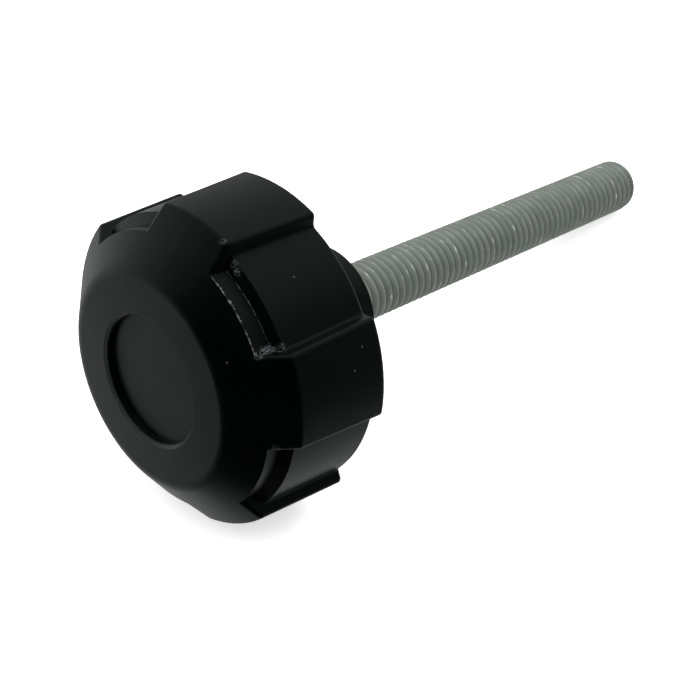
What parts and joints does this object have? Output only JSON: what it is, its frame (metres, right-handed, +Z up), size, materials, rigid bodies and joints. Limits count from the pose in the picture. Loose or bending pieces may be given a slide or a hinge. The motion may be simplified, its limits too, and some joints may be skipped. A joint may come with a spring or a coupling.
{
  "type": "lobed clamping knob",
  "caption": "Black moulded lobed hand knob with finger grips and a recessed face on a long zinc-plated threaded stud, for clamping by hand; lies on its side.",
  "frame": {"origin": "middle of the knob's box, on the surface that it lies on", "axes": "+Z up, +X along the stud from the head towards the tip, seen from above; the knob lies on two lobes and the stud's tip, with one lobe straight up"},
  "size_m": [0.095, 0.0404, 0.0402],
  "materials": {
    "black_plastic": "satin black glass-filled nylon, smooth from the mould",
    "zinc_steel": "dull zinc-plated steel, rolled thread"
  },
  "bodies": {
    "root": {"knob_head": "black_plastic", "threaded_stud": "zinc_steel"}
  },
  "joints": []
}
